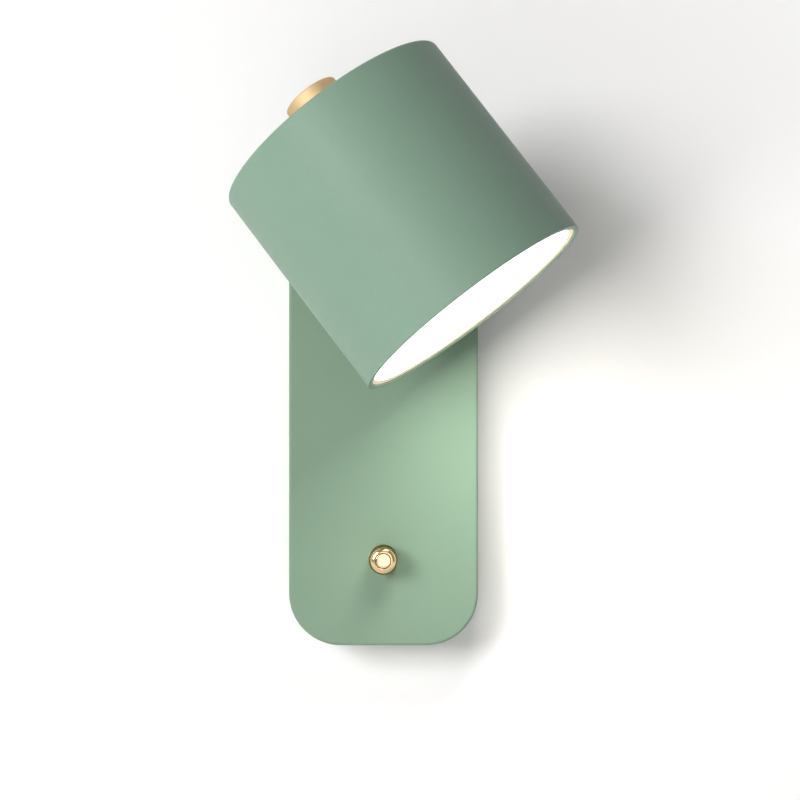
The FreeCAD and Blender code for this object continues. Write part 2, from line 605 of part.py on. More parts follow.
def make_dimmer():
    low = f"{INSIDE}-lock_washer_thick-dimmer_depth"
    housing = cut(block("dimmer_width", "dimmer_width", "dimmer_depth"),
                  rod("shaft_radius+2*screw_play", "shaft_sink+overcut",
                      at(z="dimmer_depth-shaft_sink-slide_gap")))
    node(housing, "dimmer_housing", "wall_frame", at(0, KNOB_UP, low))
    node(tube("lock_washer_radius", "bushing_radius+screw_play", "lock_washer_thick"),
         "dimmer_washer", "wall_frame", at(0, KNOB_UP, f"{INSIDE}-lock_washer_thick"))
    node(tube("bushing_radius", "shaft_radius+running_play", "bushing_length"),
         "dimmer_bushing", "wall_frame", at(0, KNOB_UP, f"{INSIDE}-lock_washer_thick"))
    node(tube("nut_ring_radius", "bushing_radius+screw_play", "nut_ring_height"),
         "dimmer_nut", "wall_frame", at(0, KNOB_UP, "canopy_depth"))
    pins = []
    wires = []
    top = f"({KNOB_UP}+dimmer_width/2)"
    level = f"({low}+pin_depth)"
    for x in ("-pin_pitch", "0", "pin_pitch"):
        pins.append(block("pin_width", "pin_length", "pin_width/2", x, f"{top}+pin_length/2",
                          f"{level}-pin_width/4"))
    for x in ("-pin_pitch", "pin_pitch"):
        end = "driver_up-driver_length/2"
        wires.append(wire([
            (x, f"{top}+pin_length+slide_gap", level),
            (x, f"({top}+pin_length)*(1-sway_share)+({end})*sway_share", level),
            (x, f"({top}+pin_length)*sway_share+({end})*(1-sway_share)", "bracket_thick+entry_out"),
            (x, f"{end}+driver_wall+lead_in", "bracket_thick+entry_out"),
        ], "wire_radius", "wire_bend"))
    node(group(pins), "dimmer_terminals", "wall_frame")
    wire_node(wires, "dimmer_leads", "wall_frame")


def make_knob():
    knob = body("dimmer_knob", "knob_frame")
    skirt = "knob_radius-knob_skirt_wall"
    bore = "shaft_radius+screw_play"
    turned(knob, [
        (skirt, "knob_gap"), ("knob_radius", "knob_gap"), ("knob_radius", "knob_height"),
        ("cap_radius+cap_groove", "knob_height"), ("cap_radius+cap_groove", "knob_height-cap_thick"),
        (0, "knob_height-cap_thick"), (0, "knob_bore_depth"), (bore, "knob_bore_depth"),
        (bore, "knob_skirt_depth"), (skirt, "knob_skirt_depth"),
    ])
    round_edges(knob, "knob_shoulder", lambda edge: (
        near(edge.BoundBox.ZMin, "knob_height") and near(edge.BoundBox.XLength, "2*knob_radius")))
    side = sketch(knob, "XZ")
    pocket(knob, circle(side, "grub_radius+screw_play", 0, "grub_up"), "knob_radius+overcut", backwards=True)
    node(rod("cap_radius", "cap_thick"), "knob_cap", "knob_frame", at(z="knob_height-cap_thick"))
    end = "knob_bore_depth-slide_gap"
    start = "canopy_wall+lock_washer_thick+shaft_sink"
    node(rod("shaft_radius", f"{start}+{end}"), "dimmer_shaft", "knob_frame", at(z=f"-({start})"))
    grub = cut(rod("grub_radius", "grub_length"),
               hexagon("grub_radius", "grub_socket+overcut", at(z="grub_length-grub_socket")))
    node(grub, "knob_grub_screw", "knob_frame",
         at(0, "-shaft_radius-slide_gap", "grub_up", "1;0;0", 90))


# ---- pan pivot ----

# levels below the canopy's front, counted in the pan frame where the front is z = 0
SLIP_LOW = "(-canopy_wall-slip_thick)"
SPRING_LOW = f"({SLIP_LOW}-slide_gap-spring_thick)"
STOP_LOW = f"({SPRING_LOW}-slide_gap-stop_disc_thick)"
NUT_LOW = f"({STOP_LOW}-slide_gap-nut_thick)"
LOCK_LOW = f"({NUT_LOW}-slide_gap-lock_nut_thick)"
FLANGE_LOW = "(bush_flange_thick+slide_gap)"
HUB_TOP = f"({FLANGE_LOW}+post_flange_thick+post_hub_height)"
CHEEK_INNER = "(tongue_half+pivot_washer_thick+slide_gap)"


def make_pan_pivot():
    bush = body("post_bush", "pan_frame")
    bore = "shank_radius+running_play"
    turned(bush, [
        (bore, "-canopy_wall"), ("bush_sleeve", "-canopy_wall"), ("bush_sleeve", 0), ("bush_flange", 0),
        ("bush_flange", "bush_flange_thick"), (bore, "bush_flange_thick"),
    ])
    node(tube("slip_radius", bore, "slip_thick"), "pan_slip_washer", "pan_frame", at(z=SLIP_LOW))
    # the stop pin stands on the canopy, straight above the post whatever the head's turn
    node(rod("stop_pin_radius", f"-({STOP_LOW})-canopy_wall"), "pan_stop_pin", "wall_frame",
         at(0, f"{POST_UP}+stop_pin_place", f"canopy_depth+{STOP_LOW}"))

    post = body("pivot_post", "pan_frame")
    turned(post, [
        (0, f"{LOCK_LOW}-shank_beyond"), ("shank_radius", f"{LOCK_LOW}-shank_beyond"),
        ("shank_radius", FLANGE_LOW), ("post_flange", FLANGE_LOW),
        ("post_flange", f"{FLANGE_LOW}+post_flange_thick"),
        ("post_hub_radius", f"{FLANGE_LOW}+post_flange_thick"), ("post_hub_radius", HUB_TOP),
        (0, HUB_TOP),
    ])
    round_edges(post, "post_flange_thick/3", lambda edge: (
        near(edge.BoundBox.ZMin, f"{FLANGE_LOW}+post_flange_thick")
        and near(edge.BoundBox.XLength, "2*post_flange")))
    for side in ("-", ""):
        x = f"{side}({CHEEK_INNER}+cheek_thick/2)"
        cheek = sketch(post, "XY", z=f"{HUB_TOP}-post_hub_height/2")
        oblong(cheek, "cheek_thick", "2*cheek_radius", x, 0)
        pad(post, cheek, f"pin_out-{HUB_TOP}+post_hub_height/2")
        crown = sketch(post, "YZ", z=f"{x}-cheek_thick/2")
        pad(post, circle(crown, "cheek_radius", 0, "pin_out"), "cheek_thick")
    pocket(post, circle(sketch(post, "XY", z="pin_out"), "wire_way"))
    pocket(post, circle(sketch(post, "YZ"), "pivot_screw_radius+running_play", 0, "pin_out"), both_ways=True)

    way = "shank_radius+screw_play"
    node(tube("spring_radius", way, "spring_thick"), "pan_spring_washer", "pan_frame", at(z=SPRING_LOW))
    finger = block("2*stop_half_width", "stop_reach", "stop_disc_thick", 0, "-stop_reach/2")
    disc = fuse(rod("stop_disc_radius", "stop_disc_thick"), finger)
    disc = cut(disc, rod(way, "stop_disc_thick+2*overcut", at(z="-overcut")))
    node(disc, "pan_stop_washer", "pan_frame", at(z=STOP_LOW))
    for label, thick, low in (("pan_nut", "nut_thick", NUT_LOW), ("pan_lock_nut", "lock_nut_thick", LOCK_LOW)):
        nut = cut(hexagon("nut_flats", thick), rod(way, f"{thick}+2*overcut", at(z="-overcut")))
        node(nut, label, "pan_frame", at(z=low))
    low = f"{LOCK_LOW}-shank_beyond"
    node(rod("lead_radius", f"pin_out-lead_break-({low})"), "post_lead", "pan_frame", at(z=low))


# ---- tilt pivot and knuckle ----

def make_knuckle():
    knuckle = body("head_knuckle", "tilt_frame")
    # tongue: round about the tilt axis, then straight out to the saddle on the shade
    pad(knuckle, circle(sketch(knuckle, "YZ"), "tongue_radius"), "2*tongue_half", both_ways=True)
    stem = sketch(knuckle, "XZ")
    pad(knuckle, oblong(stem, "2*tongue_half", "2*tongue_radius"), "shade_standoff-saddle_thick/2")
    saddle = sketch(knuckle, "XZ", z="shade_standoff-saddle_thick")
    pad(knuckle, circle(saddle, "saddle_radius"), "saddle_thick+saddle_radius/4")
    # the saddle's seat is hollowed to the shade's own curve
    seat = sketch(knuckle, "XY")
    circle(seat, "shade_radius+seat_play", 0, "-shade_standoff-shade_radius")
    pocket(knuckle, seat, both_ways=True)
    shank = sketch(knuckle, "XZ", z="shade_standoff-saddle_thick/2")
    pad(knuckle, circle(shank, "knuckle_shank"), "knuckle_reach+saddle_thick/2")
    pocket(knuckle, circle(sketch(knuckle, "XZ"), "wire_way"), both_ways=True)
    pocket(knuckle, circle(sketch(knuckle, "YZ"), "pivot_screw_radius+screw_play"), both_ways=True)
    # flared slot behind the axis, in which the post's lead stays clear as the head tilts
    back = "(tongue_radius+overcut)"
    flare = outline(sketch(knuckle, "YZ"), [
        (0, "-wire_way"), (back, f"-wire_way-{back}*tan(tilt_low)"),
        (back, f"wire_way+{back}*tan(tilt_high)"), (0, "wire_way"),
    ])
    pocket(knuckle, flare, "2*wire_way", both_ways=True)

    inner = "(shade_standoff+shade_wall+seat_play)"
    flat = f"({inner}+knuckle_washer_depth)"
    way = "knuckle_shank+screw_play"
    disc = rod("knuckle_washer_radius", "knuckle_washer_depth+overcut",
               at(0, f"-{inner}+overcut", 0, "1;0;0", 90))
    curve = rod(f"{SHADE_INSIDE}-seat_play", "4*knuckle_washer_radius",
                at(0, "-shade_standoff-shade_radius", "-2*knuckle_washer_radius"))
    rounded = doc.addObject("Part::Common", "rounded_washer")
    rounded.Base = disc
    rounded.Tool = curve
    hole = rod(way, "knuckle_washer_depth+2*overcut", at(0, f"-{inner}+overcut", 0, "1;0;0", 90))
    node(cut(rounded, hole), "knuckle_washer", "tilt_frame")
    nut = cut(hexagon("nut_flats", "nut_thick"), rod(way, "nut_thick+2*overcut", at(z="-overcut")))
    node(nut, "knuckle_nut", "tilt_frame", at(0, f"-{flat}", 0, "1;0;0", 90))

    washers = []
    screws = []
    seat_out = f"({CHEEK_INNER}+cheek_thick+slide_gap)"
    for side, turn in (("", 90), ("-", -90)):
        start = "tongue_half" if side == "" else "-tongue_half"
        washers.append(tube("pivot_washer_radius", "pivot_screw_radius+screw_play", "pivot_washer_thick",
                            at(start, 0, 0, "0;1;0", turn)))
        screws.append(screw("pivot_head_radius", "pivot_head_height", "pivot_screw_radius",
                            f"{seat_out}-tongue_half+pivot_screw_reach",
                            at(f"{side}{seat_out}", 0, 0, "0;1;0", turn)))
    node(group(washers), "tilt_washers", "tilt_frame")
    node(group(screws), "tilt_screws", "tilt_frame")


# ---- shade and light ----

BOARD_TOP = "(led_above_mouth+led_board_thick)"
SINK_LOW = f"({BOARD_TOP}+pad_thick)"
SINK_TOP = f"({SINK_LOW}+sink_base)"
SHADE_CEILING = "(shade_length-shade_wall)"
DISC_RADIUS = f"({SHADE_INSIDE}-ring_gap-ring_wall-screw_play)"
SINK_RADIUS = f"({SHADE_INSIDE}-sink_gap)"


def make_shade():
    shade = body("shade", "shade_frame")
    hole = "stud_radius+stud_hole_play"
    turned(shade, [
        (hole, "shade_length"), ("shade_radius", "shade_length"), ("shade_radius", 0), (SHADE_INSIDE, 0),
        (SHADE_INSIDE, SHADE_CEILING), (hole, SHADE_CEILING),
    ])
    round_edges(shade, "shade_edge", lambda edge: (
        near(edge.BoundBox.ZMin, "shade_length") and near(edge.BoundBox.XLength, "2*shade_radius")))
    neck = sketch(shade, "XZ")
    pocket(shade, circle(neck, "knuckle_shank+screw_play", 0, "pin_above_mouth"), "shade_radius+overcut")


def make_diffuser():
    node(rod(DISC_RADIUS, "diffuser_thick"), "diffuser", "shade_frame", at(z="diffuser_recess"))
    keeper = body("diffuser_ring", "shade_frame")
    outer = f"{SHADE_INSIDE}-ring_gap"
    inner = f"{DISC_RADIUS}+screw_play"
    low = "diffuser_recess-ring_lip"
    step = "diffuser_recess+diffuser_thick+slide_gap"
    turned(keeper, [
        (inner, low), (outer, low), (outer, f"{step}+ring_back"),
        (f"{DISC_RADIUS}-ring_shoulder", f"{step}+ring_back"), (f"{DISC_RADIUS}-ring_shoulder", step),
        (inner, step),
    ])


def make_reflector():
    reflector = body("reflector", "shade_frame")
    low = "(diffuser_recess+diffuser_thick+2*slide_gap+ring_back)"
    high = "(led_above_mouth-reflector_neck)"
    mouth = f"({DISC_RADIUS}-ring_shoulder-reflector_play)"
    neck = "(led_board_radius+reflector_play)"
    rim = f"({SHADE_INSIDE}-reflector_play)"
    turned(reflector, [
        (mouth, low), (rim, low), (rim, f"{low}+reflector_wall"),
        (f"{mouth}+reflector_wall", f"{low}+reflector_wall"), (f"{neck}+reflector_wall", high), (neck, high),
    ])


def make_led_engine():
    for label, thick, low in (("led_board", "led_board_thick", "led_above_mouth"),
                              ("thermal_pad", "pad_thick", BOARD_TOP)):
        length = f"{thick}+2*overcut"
        holes = [rod("led_screw_radius+screw_play", length, at(f"{side}led_screw_circle", 0, "-overcut"))
                 for side in ("-", "")]
        way = rod("wire_way", length, at(0, "lead_drop", "-overcut"))
        node(cut(rod("led_board_radius", thick), way, *holes), label, "shade_frame", at(z=low))
    chips = []
    for i in range(SIZES["chip_count"]):
        chip = block("chip_long", "chip_wide", "chip_thick")
        angle = f"({i}+0.5)*360/chip_count"
        spot = at("chip_circle-chip_long/2", "-chip_wide/2", "led_above_mouth-chip_thick")
        chips.append(bind(chip, Placement=f"{at(turn=angle)} * {spot}"))
    node(group(chips), "led_chips", "shade_frame")
    screws = [screw("led_screw_head", "led_screw_head_height", "led_screw_radius", "led_screw_length",
                    at(f"{side}led_screw_circle", 0, "led_above_mouth", "1;0;0", 180)) for side in ("-", "")]
    node(group(screws), "board_screws", "shade_frame")


def make_heat_sink():
    sink = body("heat_sink", "shade_frame")
    turned(sink, [
        (0, SINK_LOW), (SINK_RADIUS, SINK_LOW), (SINK_RADIUS, SINK_TOP), ("boss_radius", SINK_TOP),
        ("boss_radius", SHADE_CEILING), (0, SHADE_CEILING),
    ])
    # the fins stand clear of the lead, which drops between two of them
    blade = sketch(sink, "XY", z=f"{SINK_TOP}-sink_base/2", turn="180/fin_count")
    oblong(blade, "fin_thick", f"{SINK_RADIUS}-fin_start", 0, f"({SINK_RADIUS}+fin_start)/2")
    fin = pad(sink, blade, "fin_height+sink_base/2")
    doc.recompute()
    fins = sink.newObject("PartDesign::PolarPattern", "fins")
    fins.Originals = [fin]
    axis = [item for item in sink.Origin.OriginFeatures if item.Role == "Z_Axis"][0]
    fins.Axis = (axis, [""])
    fins.Angle = 360
    bind(fins, Occurrences="fin_count")
    sink.Tip = fins
    holes = sketch(sink, "XY", z=f"{SINK_LOW}-overcut")
    for side in ("-", ""):
        circle(holes, "led_screw_radius+screw_play", f"{side}led_screw_circle", 0)
    circle(holes, "wire_way", 0, "lead_drop")
    pocket(sink, holes, "sink_base+2*overcut", backwards=True)
    top = sketch(sink, "XY", z=SHADE_CEILING)
    pocket(sink, circle(top, "stud_radius+screw_play"), "stud_below+stud_end_gap")


def make_top_knob():
    top = body("top_knob", "shade_frame", at(z="shade_length"))
    turned(top, [
        ("stud_radius+screw_play", 0), ("top_radius", 0), ("top_radius", "top_height"), (0, "top_height"),
        (0, "stud_above+stud_end_gap"), ("stud_radius+screw_play", "stud_above+stud_end_gap"),
    ])
    round_edges(top, "top_edge", lambda edge: (
        near(edge.BoundBox.ZMin, "top_height") and near(edge.BoundBox.XLength, "2*top_radius")))
    node(rod("stud_radius", "stud_above+shade_wall+stud_below"), "knob_stud", "shade_frame",
         at(z=f"{SHADE_CEILING}-stud_below"))


def make_head_lead():
    pin_side = "shade_radius+shade_standoff-lead_break"
    wire_node([wire([
        (0, pin_side, "pin_above_mouth"), (0, "lead_drop", "pin_above_mouth"),
        (0, "lead_drop", "led_above_mouth-lead_past_board"),
    ], "lead_radius", "lead_bend")], "head_lead", "shade_frame")


for make in (make_canopy, make_wall_bracket, make_side_screws, make_cable_grommet, make_terminals, make_earth,
             make_driver, make_dimmer, make_knob, make_pan_pivot, make_knuckle, make_shade, make_diffuser,
             make_reflector, make_led_engine, make_heat_sink, make_top_knob, make_head_lead):
    make()
doc.recompute()


# ---- checks, then one file for each sub-part ----

for item in doc.Objects:
    if {"Invalid", "Error"} & set(item.State):
        raise RuntimeError(f"{item.Name} ({item.Label}) is {item.State}")
ADDING = ("Pad", "Revolution", "PolarPattern")
CUTTING = ("Pocket", "Groove", "Thickness")
for piece in nodes:
    before = 0
    for item in getattr(piece, "Group", []):
        kind = item.TypeId.split("::")[1]
        if kind not in ADDING + CUTTING + ("Fillet",):
            continue
        gain = item.Shape.Volume - before
        if gain == 0 or kind in ADDING and gain < 0 or kind in CUTTING and gain > 0:
            raise RuntimeError(f"{piece.Label}: {item.Name} does not work as a {kind}")
        before = item.Shape.Volume
    shape = piece.Shape
    if shape.isNull() or not shape.isValid() or not shape.Solids:
        raise RuntimeError(f"{piece.Label} has no valid solid")
os.makedirs("parts", exist_ok=True)
for piece in nodes:
    piece.Shape.exportStep(f"parts/{piece.Label}.step")
    print(piece.Label, len(piece.Shape.Solids), round(piece.Shape.Volume, 2))
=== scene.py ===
"""Looks of the bedside wall reading lamp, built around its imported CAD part.

All lengths are metres in the part's own frame: +Z up, +Y into the wall, -Y towards the room.
"""

import math

import bmesh
import bpy
from mathutils import Matrix, Vector


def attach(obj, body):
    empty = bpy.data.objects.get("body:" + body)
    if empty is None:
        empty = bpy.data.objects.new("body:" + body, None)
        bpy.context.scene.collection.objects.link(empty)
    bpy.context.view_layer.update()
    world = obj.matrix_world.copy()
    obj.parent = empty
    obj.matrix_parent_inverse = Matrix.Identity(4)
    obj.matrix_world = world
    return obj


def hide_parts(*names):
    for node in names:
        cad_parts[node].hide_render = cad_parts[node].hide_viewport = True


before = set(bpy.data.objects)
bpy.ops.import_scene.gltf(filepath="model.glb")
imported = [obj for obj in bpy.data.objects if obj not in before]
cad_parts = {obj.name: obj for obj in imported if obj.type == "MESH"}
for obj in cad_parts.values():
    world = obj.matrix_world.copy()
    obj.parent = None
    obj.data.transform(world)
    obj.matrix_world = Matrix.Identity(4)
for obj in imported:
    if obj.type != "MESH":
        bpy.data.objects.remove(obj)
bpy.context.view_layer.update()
scene = bpy.context.scene
scene.view_settings.view_transform = "Standard"


# ---- camera ----
# The product shot is taken square to the wall, a little right of the lamp's middle and
# about level with it, from some 83 cm away with a short tele lens.

eye = bpy.data.cameras.new("product_camera")
eye.sensor_width = 36
eye.lens = 85.5
camera = bpy.data.objects.new("product_camera", eye)
camera.location = (0.007, -0.829, -0.0061)
camera.rotation_euler = (math.radians(90), 0, 0)
scene.collection.objects.link(camera)
scene.camera = camera


# ---- wall and floor ----
# A matt white studio wall, which takes the lamp's shadows near it and runs out to pure white,
# and a pale floor well below. Neither belongs to the lamp. The wall is open behind the canopy,
# where the fixings and the cable come out, and it shows only from its front.

def new_material(name):
    made = bpy.data.materials.new(name)
    made.use_nodes = True
    return made, made.node_tree, made.node_tree.nodes["Principled BSDF"]


def stage_of(tree, kind, inputs=None, **settings):
    """One node of a finish. Each input is a plain value or another node's output."""
    made = tree.nodes.new("ShaderNode" + kind)
    for name, value in settings.items():
        setattr(made, name, value)
    for socket, value in (inputs or {}).items():
        if isinstance(value, bpy.types.NodeSocket):
            tree.links.new(value, made.inputs[socket])
        else:
            made.inputs[socket].default_value = value
    return made


def seen_directly(tree):
    """1 for what the eye, a gloss or a clear part sees, 0 for what only lights other things."""
    path = stage_of(tree, "LightPath").outputs
    either = stage_of(tree, "Math", {0: path["Is Camera Ray"], 1: path["Is Glossy Ray"]},
                      operation="MAXIMUM")
    any_of_them = stage_of(tree, "Math", {0: either.outputs[0], 1: path["Is Transmission Ray"]},
                           operation="MAXIMUM")
    return any_of_them.outputs[0]


def scaled(colour, share):
    return tuple(value * share for value in colour)


def backdrop_finish(name, tint, fade_from, fade_to, one_sided):
    """Matt paint near the lamp that goes over to pure white between two distances from it."""
    made, tree, shader = new_material(name)
    tree.nodes.remove(shader)
    out = tree.nodes["Material Output"]
    place = stage_of(tree, "NewGeometry")
    reach = stage_of(tree, "VectorMath", {0: place.outputs["Position"]}, operation="LENGTH")
    grain = stage_of(tree, "TexNoise", {"Vector": place.outputs["Position"], "Scale": 60.0,
                                        "Detail": 4.0})
    mottled = scaled(tint, 0.995)
    paint = stage_of(tree, "MixRGB", {"Fac": grain.outputs["Fac"], "Color1": (*tint, 1),
                                      "Color2": (*mottled, 1)})
    matt = stage_of(tree, "BsdfDiffuse", {"Color": paint.outputs[0]})
    white = stage_of(tree, "Emission", {"Color": (1, 1, 1, 1), "Strength": 1.0})
    fade = stage_of(tree, "MapRange", {"Value": reach.outputs["Value"], "From Min": fade_from,
                                       "From Max": fade_to}, interpolation_type="SMOOTHSTEP")
    share = stage_of(tree, "Math", {0: fade.outputs[0], 1: seen_directly(tree)},
                     operation="MULTIPLY")
    cover = stage_of(tree, "MixShader", {0: share.outputs[0], 1: matt.outputs[0],
                                         2: white.outputs[0]})
    if one_sided:
        clear = stage_of(tree, "BsdfTransparent")
        cover = stage_of(tree, "MixShader", {0: place.outputs["Backfacing"], 1: cover.outputs[0],
                                             2: clear.outputs[0]})
    tree.links.new(cover.outputs[0], out.inputs["Surface"])
    return made


def rounded_box_ring(half_width, half_height, corner, steps):
    """Points round a rectangle with round corners, from its right side up and over to the left."""
    points = []
    for quarter, (sx, sy) in enumerate(((1, 1), (-1, 1), (-1, -1), (1, -1))):
        for step in range(steps + 1):
            turn = math.radians(90) * (quarter + step / steps)
            points.append((sx * (half_width - corner) + corner * math.cos(turn),
                           sy * (half_height - corner) + corner * math.sin(turn)))
    return points


def link_mesh(name, mesh_data, material, smooth=True):
    """Turns a finished bmesh into an object with one finish on it."""
    mesh = bpy.data.meshes.new(name)
    mesh_data.normal_update()
    for face in mesh_data.faces:
        face.smooth = smooth
    mesh_data.to_mesh(mesh)
    mesh_data.free()
    mesh.materials.append(material)
    made = bpy.data.objects.new(name, mesh)
    scene.collection.objects.link(made)
    return made


wall_gap, wall_reach = 0.0003, 5.0
opening_half_width, opening_half_height, opening_corner = 0.039, 0.109, 0.021
wall_opening = rounded_box_ring(opening_half_width, opening_half_height, opening_corner, steps=12)
wall_mesh = bmesh.new()
inner = [wall_mesh.verts.new((x, wall_gap, z)) for x, z in wall_opening]
outer = [wall_mesh.verts.new((x * wall_reach / math.hypot(x, z), wall_gap,
                              z * wall_reach / math.hypot(x, z))) for x, z in wall_opening]
for a in range(len(inner)):
    b = (a + 1) % len(inner)
    wall_mesh.faces.new((inner[a], outer[a], outer[b], inner[b]))
wall_mesh.normal_update()
if wall_mesh.faces[:][0].normal.y > 0:
    bmesh.ops.reverse_faces(wall_mesh, faces=wall_mesh.faces[:])
wall_paint = backdrop_finish("wall_paint", tint=(0.955, 0.947, 0.942), fade_from=0.15, fade_to=0.38,
                             one_sided=True)
wall = link_mesh("studio_wall", wall_mesh, wall_paint, smooth=False)

floor_low, floor_reach = -0.55, 3.0
floor_mesh = bmesh.new()
bmesh.ops.create_circle(floor_mesh, cap_ends=True, segments=96, radius=floor_reach,
                        matrix=Matrix.Translation((0, 0, floor_low)))
floor_paint = backdrop_finish("floor_paint", tint=(0.90, 0.90, 0.89), fade_from=0.55, fade_to=1.0,
                              one_sided=False)
floor = link_mesh("studio_floor", floor_mesh, floor_paint, smooth=False)


# ---- lights ----
# A large soft box from the left and a weaker one beside the camera, in a dim white room. One
# more, behind the wall, only reaches the open back of the canopy.

def soft_box(name, place, target, size, power, tint):
    data = bpy.data.lights.new(name, "AREA")
    data.shape = "SQUARE"
    data.size = size
    data.energy = power
    data.color = tint
    made = bpy.data.objects.new(name, data)
    made.location = place
    made.rotation_euler = (Vector(target) - Vector(place)).to_track_quat("-Z", "Y").to_euler()
    scene.collection.objects.link(made)
    return made


canopy_front = (0, -0.03, 0)
soft_box("key_box", place=(-1.113, -1.590, 0.484), target=canopy_front, size=0.90, power=34.0,
         tint=(1, 1, 1))
soft_box("front_box", place=(0.278, -1.979, 0.070), target=canopy_front, size=0.90, power=4.0,
         tint=(1, 0.975, 0.96))
soft_box("back_box", place=(-0.55, 1.30, 0.45), target=(0, 0, 0), size=0.70, power=12.0,
         tint=(1, 1, 1))

room = bpy.data.worlds.new("white_room")
room.use_nodes = True
scene.world = room
sky = room.node_tree
for spare in list(sky.nodes):
    sky.nodes.remove(spare)
room_light = stage_of(sky, "Background", {"Color": (1, 0.96, 0.95, 1), "Strength": 0.03})
way = stage_of(sky, "SeparateXYZ", {0: stage_of(sky, "TexCoord").outputs["Generated"]})
# in a gloss, the room in front of the wall is dim and the wall's side of it is white
gloss = stage_of(sky, "MapRange", {"Value": way.outputs["Y"], "From Min": -0.35, "From Max": 0.05,
                                   "To Min": 0.33, "To Max": 1.0}, interpolation_type="SMOOTHSTEP")
shiny = stage_of(sky, "LightPath").outputs["Is Glossy Ray"]
white_share = stage_of(sky, "MapRange", {"Value": shiny, "To Min": 1.0, "To Max": gloss.outputs[0]})
room_white = stage_of(sky, "Background", {"Color": (1, 1, 1, 1), "Strength": white_share.outputs[0]})
room_mix = stage_of(sky, "MixShader", {0: seen_directly(sky), 1: room_light.outputs[0],
                                       2: room_white.outputs[0]})
sky.links.new(room_mix.outputs[0], stage_of(sky, "OutputWorld").inputs["Surface"])


# ---- canopy ----
# Box pressed from 2 mm sheet with round corners and a small round along its front edge,
# degreased and powder coated sage green: matt, with the fine pebbled grain that the coat bakes to.

def object_place(tree):
    return stage_of(tree, "TexCoord").outputs["Object"]


def grain_bump(tree, shader, place, reliefs, normal=None):
    """Fine relief, from coarse to fine, each (scale per metre, height, strength, detail)."""
    for scale, height, strength, detail in reliefs:
        noise = stage_of(tree, "TexNoise", {"Vector": place, "Scale": scale, "Detail": detail,
                                            "Roughness": 0.55})
        bump = stage_of(tree, "Bump", {"Height": noise.outputs["Fac"], "Distance": height,
                                       "Strength": strength})
        if normal:
            tree.links.new(normal, bump.inputs["Normal"])
        normal = bump.outputs[0]
    tree.links.new(normal, shader.inputs["Normal"])
    return noise.outputs["Fac"]


def tone(tree, factor, low, high, steps=(0.3, 0.7)):
    """A colour that moves from low to high as factor passes between the two steps."""
    ramp = stage_of(tree, "ValToRGB", {"Fac": factor})
    first, last = ramp.color_ramp.elements
    first.position, last.position = steps
    first.color, last.color = (*low, 1), (*high, 1)
    return ramp.outputs["Color"]


def spread(tree, factor, low, high):
    """A number that moves from low to high as factor does, such as a noise."""
    made = stage_of(tree, "MapRange", {"Value": factor, "From Min": 0.25, "From Max": 0.75,
                                       "To Min": low, "To Max": high})
    return made.outputs[0]


def powder_coat(name, colour, rough):
    made, tree, shader = new_material(name)
    place = object_place(tree)
    pebble, speckle = (480.0, 0.0001, 0.24, 2.0), (2400.0, 0.00004, 0.22, 3.0)
    fine = grain_bump(tree, shader, place, (pebble, speckle))
    cloud = stage_of(tree, "TexNoise", {"Vector": place, "Scale": 22.0, "Detail": 3.0}).outputs["Fac"]
    broad = tone(tree, cloud, scaled(colour, 0.975), scaled(colour, 1.025))
    speck = tone(tree, fine, scaled(colour, 0.93), scaled(colour, 1.06), (0.38, 0.62))
    mixed = stage_of(tree, "MixRGB", {"Fac": 0.4, "Color1": broad, "Color2": speck})
    tree.links.new(mixed.outputs[0], shader.inputs["Base Color"])
    tree.links.new(spread(tree, fine, rough - 0.05, rough + 0.06), shader.inputs["Roughness"])
    shader.inputs["Specular IOR Level"].default_value = 0.2
    return made


def dress(material, *names):
    """Gives CAD nodes a finish. Their shapes stay as packed."""
    for name in names:
        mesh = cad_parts[name].data
        mesh.materials.clear()
        mesh.materials.append(material)


sage_canopy = powder_coat("sage_canopy_coat", (0.204, 0.304, 0.218), 0.50)
dress(sage_canopy, "canopy")


# ---- wall bracket and its screws ----
# Strap punched and bent from 1.5 mm steel, bright zinc plated. Its ends turn out from the wall,
# and one countersunk screw through each end of the canopy goes into them.

def plated(name, colour, rough, grain=900.0, height=0.00001, rolled=(1, 1, 1)):
    """Plated or bare metal: fine grain, drawn out along the way it was rolled, under faint clouds."""
    made, tree, shader = new_material(name)
    place = object_place(tree)
    drawn = stage_of(tree, "VectorMath", {0: place, 1: rolled}, operation="MULTIPLY").outputs[0]
    shader.inputs["Metallic"].default_value = 1.0
    fine = grain_bump(tree, shader, drawn, ((grain, height, 0.3, 3.0),))
    cloud = stage_of(tree, "TexNoise", {"Vector": place, "Scale": 60.0, "Detail": 3.0}).outputs["Fac"]
    both = stage_of(tree, "Math", {0: fine, 1: cloud}, operation="ADD")
    half = stage_of(tree, "Math", {0: both.outputs[0], 1: 0.5}, operation="MULTIPLY").outputs[0]
    tree.links.new(tone(tree, half, scaled(colour, 0.92), scaled(colour, 1.04), (0.35, 0.65)),
                   shader.inputs["Base Color"])
    tree.links.new(spread(tree, half, rough - 0.06, rough + 0.08), shader.inputs["Roughness"])
    return made


zinc = plated("bright_zinc", (0.68, 0.69, 0.71), 0.30)
rolled_zinc = plated("bright_zinc_strip", (0.66, 0.67, 0.69), 0.34, grain=1600.0, height=0.000008,
                     rolled=(1, 1, 0.04))
spring = plated("plain_spring_steel", (0.42, 0.43, 0.45), 0.36, grain=1400.0)
dress(rolled_zinc, "wall_bracket")
dress(zinc, "canopy_screws")


# ---- cable grommet and terminal block ----
# Black rubber grommet that the supply cable comes through, and a natural nylon block with three
# brass sleeves and plated clamp screws.

